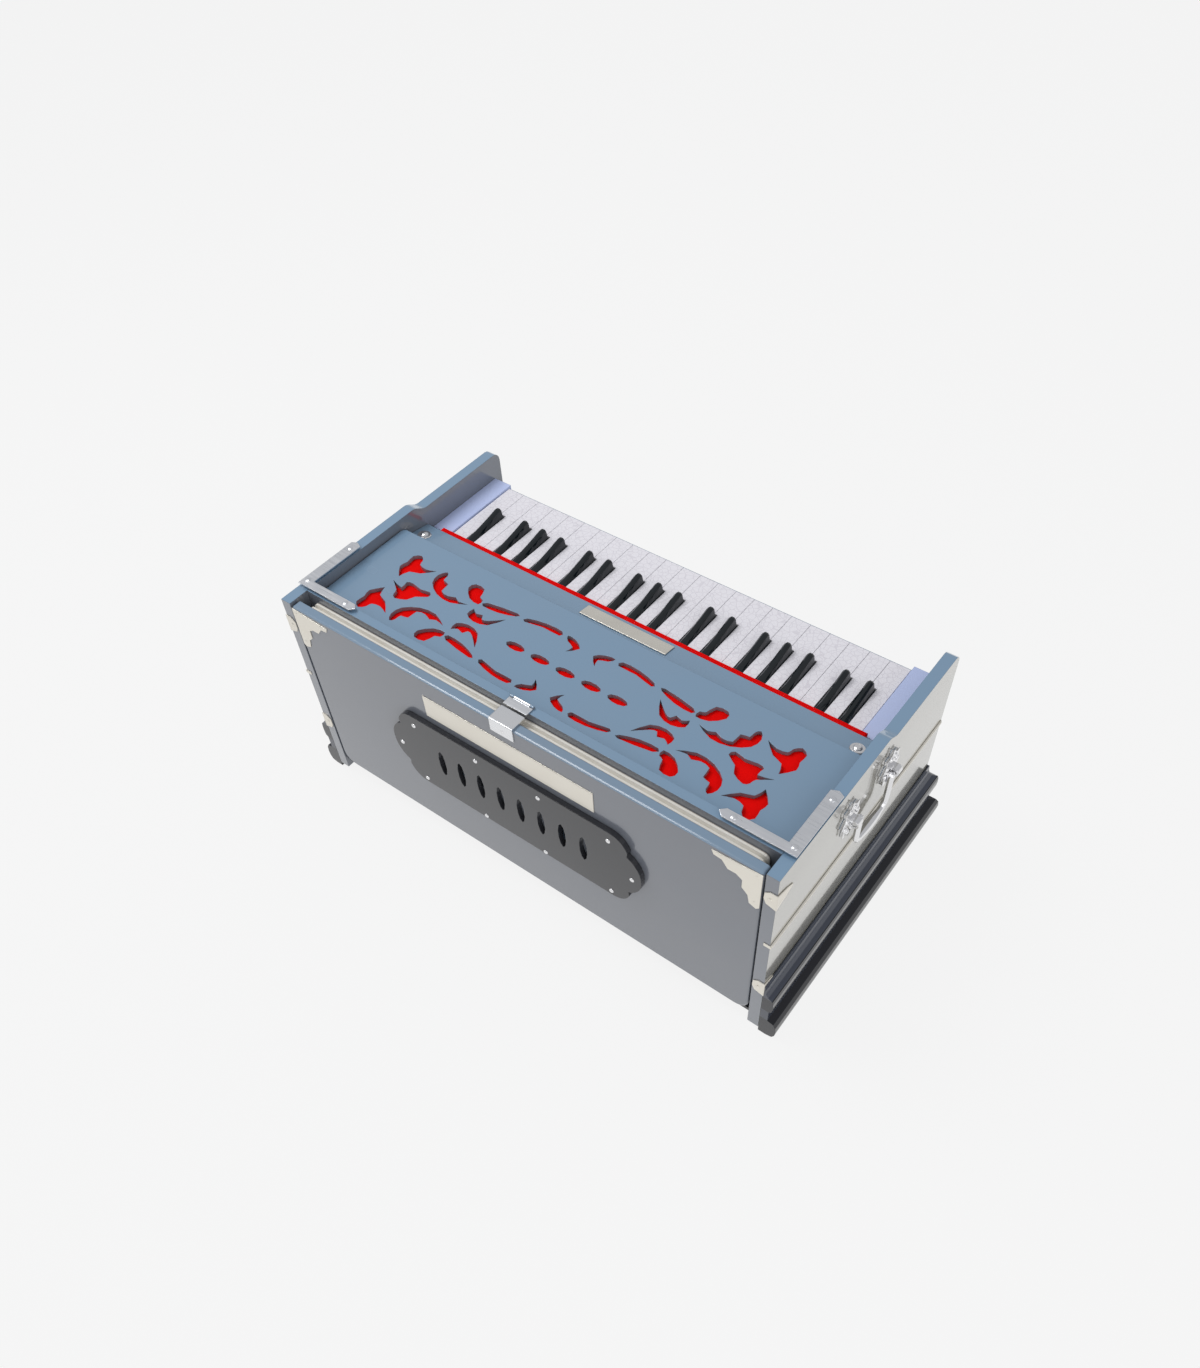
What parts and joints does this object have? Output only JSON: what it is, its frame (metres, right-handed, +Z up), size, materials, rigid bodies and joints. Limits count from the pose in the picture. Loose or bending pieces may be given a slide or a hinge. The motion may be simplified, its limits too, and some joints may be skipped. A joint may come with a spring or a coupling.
{
  "type": "harmonium",
  "caption": "Hand-pumped portable harmonium with keyboard, fretwork cover over red cloth, rear bellows flap and bail handles",
  "frame": {"origin": "middle of the whole instrument's footprint, on the surface it stands on", "axes": "+X to the treble end, the player's right; +Y to the pump flap at the rear; +Z up"},
  "size_m": [0.6034, 0.3412, 0.2581],
  "materials": {
    "plinth_lacquer": "near-black gloss lacquer on wood",
    "blue_grey_lacquer": "blue-grey gloss lacquer on wood",
    "bare_wood": "unpainted pine",
    "lavender_laminate": "lavender laminate",
    "red_cloth": "plain red cloth",
    "black_acrylic": "gloss black acrylic",
    "bellows_card": "cream card and leather folds",
    "brushed_plate": "brushed plate",
    "reservoir_leather": "leather-covered board",
    "chrome_plate": "chrome plated",
    "white_plastic": "white key plastic with a fine crackle",
    "black_plastic": "gloss black plastic"
  },
  "bodies": {
    "root": {"base": "plinth_lacquer", "side_wall_left": "blue_grey_lacquer", "side_wall_right": "blue_grey_lacquer", "front_board": "blue_grey_lacquer", "rear_board": "blue_grey_lacquer", "reed_chest": "bare_wood", "key_block_left": "lavender_laminate", "key_block_right": "lavender_laminate", "name_rail": "blue_grey_lacquer", "top_cover": "blue_grey_lacquer", "cover_cloth": "red_cloth", "pump_bellows": "bellows_card"},
    "pump_flap": {"pump_flap": "blue_grey_lacquer", "pump_plaque": "black_acrylic"},
    "latch_catch": {"latch_catch": "brushed_plate"},
    "handle_left": {"handle_left": "chrome_plate"},
    "handle_right": {"handle_right": "chrome_plate"},
    "stop_1": {"stop_1": "white_plastic"},
    "stop_2": {"stop_2": "white_plastic"},
    "stop_3": {"stop_3": "white_plastic"},
    "reservoir": {"reservoir": "reservoir_leather"},
    "key_c_1": {"key_c_1": "white_plastic"},
    "key_c_sharp_1": {"key_c_sharp_1": "black_plastic"},
    "key_d_1": {"key_d_1": "white_plastic"},
    "key_d_sharp_1": {"key_d_sharp_1": "black_plastic"},
    "key_e_1": {"key_e_1": "white_plastic"},
    "key_f_1": {"key_f_1": "white_plastic"},
    "key_f_sharp_1": {"key_f_sharp_1": "black_plastic"},
    "key_g_1": {"key_g_1": "white_plastic"},
    "key_g_sharp_1": {"key_g_sharp_1": "black_plastic"},
    "key_a_1": {"key_a_1": "white_plastic"},
    "key_a_sharp_1": {"key_a_sharp_1": "black_plastic"},
    "key_b_1": {"key_b_1": "white_plastic"},
    "key_c_2": {"key_c_2": "white_plastic"},
    "key_c_sharp_2": {"key_c_sharp_2": "black_plastic"},
    "key_d_2": {"key_d_2": "white_plastic"},
    "key_d_sharp_2": {"key_d_sharp_2": "black_plastic"},
    "key_e_2": {"key_e_2": "white_plastic"},
    "key_f_2": {"key_f_2": "white_plastic"},
    "key_f_sharp_2": {"key_f_sharp_2": "black_plastic"},
    "key_g_2": {"key_g_2": "white_plastic"},
    "key_g_sharp_2": {"key_g_sharp_2": "black_plastic"},
    "key_a_2": {"key_a_2": "white_plastic"},
    "key_a_sharp_2": {"key_a_sharp_2": "black_plastic"},
    "key_b_2": {"key_b_2": "white_plastic"},
    "key_c_3": {"key_c_3": "white_plastic"},
    "key_c_sharp_3": {"key_c_sharp_3": "black_plastic"},
    "key_d_3": {"key_d_3": "white_plastic"},
    "key_d_sharp_3": {"key_d_sharp_3": "black_plastic"},
    "key_e_3": {"key_e_3": "white_plastic"},
    "key_f_3": {"key_f_3": "white_plastic"},
    "key_f_sharp_3": {"key_f_sharp_3": "black_plastic"},
    "key_g_3": {"key_g_3": "white_plastic"},
    "key_g_sharp_3": {"key_g_sharp_3": "black_plastic"},
    "key_a_3": {"key_a_3": "white_plastic"},
    "key_a_sharp_3": {"key_a_sharp_3": "black_plastic"},
    "key_b_3": {"key_b_3": "white_plastic"},
    "key_c_4": {"key_c_4": "white_plastic"},
    "key_c_sharp_4": {"key_c_sharp_4": "black_plastic"},
    "key_d_4": {"key_d_4": "white_plastic"}
  },
  "joints": [
    {"name": "pump_flap_hinge", "type": "hinge", "parent": "root", "child": "pump_flap", "pos_m": [0, 0.15505, 0.022], "axis": [-1, 0, 0], "range_deg": [0, 22], "deforming": ["pump_bellows"]},
    {"name": "latch_hinge", "type": "hinge", "parent": "root", "child": "latch_catch", "pos_m": [0, 0.13505, 0.2567], "axis": [1, 0, 0], "range_deg": [0, 110]},
    {"name": "handle_left_hinge", "type": "hinge", "parent": "root", "child": "handle_left", "pos_m": [-0.2912, 0.01425, 0.211], "axis": [0, 1, 0], "range_deg": [0, 90]},
    {"name": "handle_right_hinge", "type": "hinge", "parent": "root", "child": "handle_right", "pos_m": [0.2912, 0.01425, 0.211], "axis": [0, -1, 0], "range_deg": [0, 90]},
    {"name": "stop_1_slide", "type": "slide", "parent": "root", "child": "stop_1", "axis": [0, -1, 0], "range_m": [0, 0.018]},
    {"name": "stop_2_slide", "type": "slide", "parent": "root", "child": "stop_2", "axis": [0, -1, 0], "range_m": [0, 0.018]},
    {"name": "stop_3_slide", "type": "slide", "parent": "root", "child": "stop_3", "axis": [0, -1, 0], "range_m": [0, 0.018]},
    {"name": "reservoir_hinge", "type": "hinge", "parent": "root", "child": "reservoir", "pos_m": [0, -0.11075, 0.1457], "axis": [-1, 0, 0], "range_deg": [0, 6], "stiffness_Nm_per_rad": 20, "springref_deg": -8.59},
    {"name": "key_c_1_pivot", "type": "hinge", "parent": "root", "child": "key_c_1", "pos_m": [-0.24098, -0.01075, 0.2035], "axis": [1, 0, 0], "range_deg": [0, 3], "stiffness_Nm_per_rad": 0.5, "springref_deg": -8.59},
    {"name": "key_c_sharp_1_pivot", "type": "hinge", "parent": "root", "child": "key_c_sharp_1", "pos_m": [-0.22844, -0.01075, 0.2035], "axis": [1, 0, 0], "range_deg": [0, 3], "stiffness_Nm_per_rad": 0.5, "springref_deg": -8.59},
    {"name": "key_d_1_pivot", "type": "hinge", "parent": "root", "child": "key_d_1", "pos_m": [-0.2159, -0.01075, 0.2035], "axis": [1, 0, 0], "range_deg": [0, 3], "stiffness_Nm_per_rad": 0.5, "springref_deg": -8.59},
    {"name": "key_d_sharp_1_pivot", "type": "hinge", "parent": "root", "child": "key_d_sharp_1", "pos_m": [-0.20335, -0.01075, 0.2035], "axis": [1, 0, 0], "range_deg": [0, 3], "stiffness_Nm_per_rad": 0.5, "springref_deg": -8.59},
    {"name": "key_e_1_pivot", "type": "hinge", "parent": "root", "child": "key_e_1", "pos_m": [-0.19081, -0.01075, 0.2035], "axis": [1, 0, 0], "range_deg": [0, 3], "stiffness_Nm_per_rad": 0.5, "springref_deg": -8.59},
    {"name": "key_f_1_pivot", "type": "hinge", "parent": "root", "child": "key_f_1", "pos_m": [-0.17827, -0.01075, 0.2035], "axis": [1, 0, 0], "range_deg": [0, 3], "stiffness_Nm_per_rad": 0.5, "springref_deg": -8.59},
    {"name": "key_f_sharp_1_pivot", "type": "hinge", "parent": "root", "child": "key_f_sharp_1", "pos_m": [-0.16573, -0.01075, 0.2035], "axis": [1, 0, 0], "range_deg": [0, 3], "stiffness_Nm_per_rad": 0.5, "springref_deg": -8.59},
    {"name": "key_g_1_pivot", "type": "hinge", "parent": "root", "child": "key_g_1", "pos_m": [-0.15319, -0.01075, 0.2035], "axis": [1, 0, 0], "range_deg": [0, 3], "stiffness_Nm_per_rad": 0.5, "springref_deg": -8.59},
    {"name": "key_g_sharp_1_pivot", "type": "hinge", "parent": "root", "child": "key_g_sharp_1", "pos_m": [-0.14065, -0.01075, 0.2035], "axis": [1, 0, 0], "range_deg": [0, 3], "stiffness_Nm_per_rad": 0.5, "springref_deg": -8.59},
    {"name": "key_a_1_pivot", "type": "hinge", "parent": "root", "child": "key_a_1", "pos_m": [-0.1281, -0.01075, 0.2035], "axis": [1, 0, 0], "range_deg": [0, 3], "stiffness_Nm_per_rad": 0.5, "springref_deg": -8.59},
    {"name": "key_a_sharp_1_pivot", "type": "hinge", "parent": "root", "child": "key_a_sharp_1", "pos_m": [-0.11556, -0.01075, 0.2035], "axis": [1, 0, 0], "range_deg": [0, 3], "stiffness_Nm_per_rad": 0.5, "springref_deg": -8.59},
    {"name": "key_b_1_pivot", "type": "hinge", "parent": "root", "child": "key_b_1", "pos_m": [-0.10302, -0.01075, 0.2035], "axis": [1, 0, 0], "range_deg": [0, 3], "stiffness_Nm_per_rad": 0.5, "springref_deg": -8.59},
    {"name": "key_c_2_pivot", "type": "hinge", "parent": "root", "child": "key_c_2", "pos_m": [-0.09048, -0.01075, 0.2035], "axis": [1, 0, 0], "range_deg": [0, 3], "stiffness_Nm_per_rad": 0.5, "springref_deg": -8.59},
    {"name": "key_c_sharp_2_pivot", "type": "hinge", "parent": "root", "child": "key_c_sharp_2", "pos_m": [-0.07794, -0.01075, 0.2035], "axis": [1, 0, 0], "range_deg": [0, 3], "stiffness_Nm_per_rad": 0.5, "springref_deg": -8.59},
    {"name": "key_d_2_pivot", "type": "hinge", "parent": "root", "child": "key_d_2", "pos_m": [-0.0654, -0.01075, 0.2035], "axis": [1, 0, 0], "range_deg": [0, 3], "stiffness_Nm_per_rad": 0.5, "springref_deg": -8.59},
    {"name": "key_d_sharp_2_pivot", "type": "hinge", "parent": "root", "child": "key_d_sharp_2", "pos_m": [-0.05285, -0.01075, 0.2035], "axis": [1, 0, 0], "range_deg": [0, 3], "stiffness_Nm_per_rad": 0.5, "springref_deg": -8.59},
    {"name": "key_e_2_pivot", "type": "hinge", "parent": "root", "child": "key_e_2", "pos_m": [-0.04031, -0.01075, 0.2035], "axis": [1, 0, 0], "range_deg": [0, 3], "stiffness_Nm_per_rad": 0.5, "springref_deg": -8.59},
    {"name": "key_f_2_pivot", "type": "hinge", "parent": "root", "child": "key_f_2", "pos_m": [-0.02777, -0.01075, 0.2035], "axis": [1, 0, 0], "range_deg": [0, 3], "stiffness_Nm_per_rad": 0.5, "springref_deg": -8.59},
    {"name": "key_f_sharp_2_pivot", "type": "hinge", "parent": "root", "child": "key_f_sharp_2", "pos_m": [-0.01523, -0.01075, 0.2035], "axis": [1, 0, 0], "range_deg": [0, 3], "stiffness_Nm_per_rad": 0.5, "springref_deg": -8.59},
    {"name": "key_g_2_pivot", "type": "hinge", "parent": "root", "child": "key_g_2", "pos_m": [-0.00269, -0.01075, 0.2035], "axis": [1, 0, 0], "range_deg": [0, 3], "stiffness_Nm_per_rad": 0.5, "springref_deg": -8.59},
    {"name": "key_g_sharp_2_pivot", "type": "hinge", "parent": "root", "child": "key_g_sharp_2", "pos_m": [0.00985, -0.01075, 0.2035], "axis": [1, 0, 0], "range_deg": [0, 3], "stiffness_Nm_per_rad": 0.5, "springref_deg": -8.59},
    {"name": "key_a_2_pivot", "type": "hinge", "parent": "root", "child": "key_a_2", "pos_m": [0.0224, -0.01075, 0.2035], "axis": [1, 0, 0], "range_deg": [0, 3], "stiffness_Nm_per_rad": 0.5, "springref_deg": -8.59},
    {"name": "key_a_sharp_2_pivot", "type": "hinge", "parent": "root", "child": "key_a_sharp_2", "pos_m": [0.03494, -0.01075, 0.2035], "axis": [1, 0, 0], "range_deg": [0, 3], "stiffness_Nm_per_rad": 0.5, "springref_deg": -8.59},
    {"name": "key_b_2_pivot", "type": "hinge", "parent": "root", "child": "key_b_2", "pos_m": [0.04748, -0.01075, 0.2035], "axis": [1, 0, 0], "range_deg": [0, 3], "stiffness_Nm_per_rad": 0.5, "springref_deg": -8.59},
    {"name": "key_c_3_pivot", "type": "hinge", "parent": "root", "child": "key_c_3", "pos_m": [0.06002, -0.01075, 0.2035], "axis": [1, 0, 0], "range_deg": [0, 3], "stiffness_Nm_per_rad": 0.5, "springref_deg": -8.59},
    {"name": "key_c_sharp_3_pivot", "type": "hinge", "parent": "root", "child": "key_c_sharp_3", "pos_m": [0.07256, -0.01075, 0.2035], "axis": [1, 0, 0], "range_deg": [0, 3], "stiffness_Nm_per_rad": 0.5, "springref_deg": -8.59},
    {"name": "key_d_3_pivot", "type": "hinge", "parent": "root", "child": "key_d_3", "pos_m": [0.0851, -0.01075, 0.2035], "axis": [1, 0, 0], "range_deg": [0, 3], "stiffness_Nm_per_rad": 0.5, "springref_deg": -8.59},
    {"name": "key_d_sharp_3_pivot", "type": "hinge", "parent": "root", "child": "key_d_sharp_3", "pos_m": [0.09765, -0.01075, 0.2035], "axis": [1, 0, 0], "range_deg": [0, 3], "stiffness_Nm_per_rad": 0.5, "springref_deg": -8.59},
    {"name": "key_e_3_pivot", "type": "hinge", "parent": "root", "child": "key_e_3", "pos_m": [0.11019, -0.01075, 0.2035], "axis": [1, 0, 0], "range_deg": [0, 3], "stiffness_Nm_per_rad": 0.5, "springref_deg": -8.59},
    {"name": "key_f_3_pivot", "type": "hinge", "parent": "root", "child": "key_f_3", "pos_m": [0.12273, -0.01075, 0.2035], "axis": [1, 0, 0], "range_deg": [0, 3], "stiffness_Nm_per_rad": 0.5, "springref_deg": -8.59},
    {"name": "key_f_sharp_3_pivot", "type": "hinge", "parent": "root", "child": "key_f_sharp_3", "pos_m": [0.13527, -0.01075, 0.2035], "axis": [1, 0, 0], "range_deg": [0, 3], "stiffness_Nm_per_rad": 0.5, "springref_deg": -8.59},
    {"name": "key_g_3_pivot", "type": "hinge", "parent": "root", "child": "key_g_3", "pos_m": [0.14781, -0.01075, 0.2035], "axis": [1, 0, 0], "range_deg": [0, 3], "stiffness_Nm_per_rad": 0.5, "springref_deg": -8.59},
    {"name": "key_g_sharp_3_pivot", "type": "hinge", "parent": "root", "child": "key_g_sharp_3", "pos_m": [0.16035, -0.01075, 0.2035], "axis": [1, 0, 0], "range_deg": [0, 3], "stiffness_Nm_per_rad": 0.5, "springref_deg": -8.59},
    {"name": "key_a_3_pivot", "type": "hinge", "parent": "root", "child": "key_a_3", "pos_m": [0.1729, -0.01075, 0.2035], "axis": [1, 0, 0], "range_deg": [0, 3], "stiffness_Nm_per_rad": 0.5, "springref_deg": -8.59},
    {"name": "key_a_sharp_3_pivot", "type": "hinge", "parent": "root", "child": "key_a_sharp_3", "pos_m": [0.18544, -0.01075, 0.2035], "axis": [1, 0, 0], "range_deg": [0, 3], "stiffness_Nm_per_rad": 0.5, "springref_deg": -8.59},
    {"name": "key_b_3_pivot", "type": "hinge", "parent": "root", "child": "key_b_3", "pos_m": [0.19798, -0.01075, 0.2035], "axis": [1, 0, 0], "range_deg": [0, 3], "stiffness_Nm_per_rad": 0.5, "springref_deg": -8.59},
    {"name": "key_c_4_pivot", "type": "hinge", "parent": "root", "child": "key_c_4", "pos_m": [0.21052, -0.01075, 0.2035], "axis": [1, 0, 0], "range_deg": [0, 3], "stiffness_Nm_per_rad": 0.5, "springref_deg": -8.59},
    {"name": "key_c_sharp_4_pivot", "type": "hinge", "parent": "root", "child": "key_c_sharp_4", "pos_m": [0.22306, -0.01075, 0.2035], "axis": [1, 0, 0], "range_deg": [0, 3], "stiffness_Nm_per_rad": 0.5, "springref_deg": -8.59},
    {"name": "key_d_4_pivot", "type": "hinge", "parent": "root", "child": "key_d_4", "pos_m": [0.2356, -0.01075, 0.2035], "axis": [1, 0, 0], "range_deg": [0, 3], "stiffness_Nm_per_rad": 0.5, "springref_deg": -8.59}
  ]
}
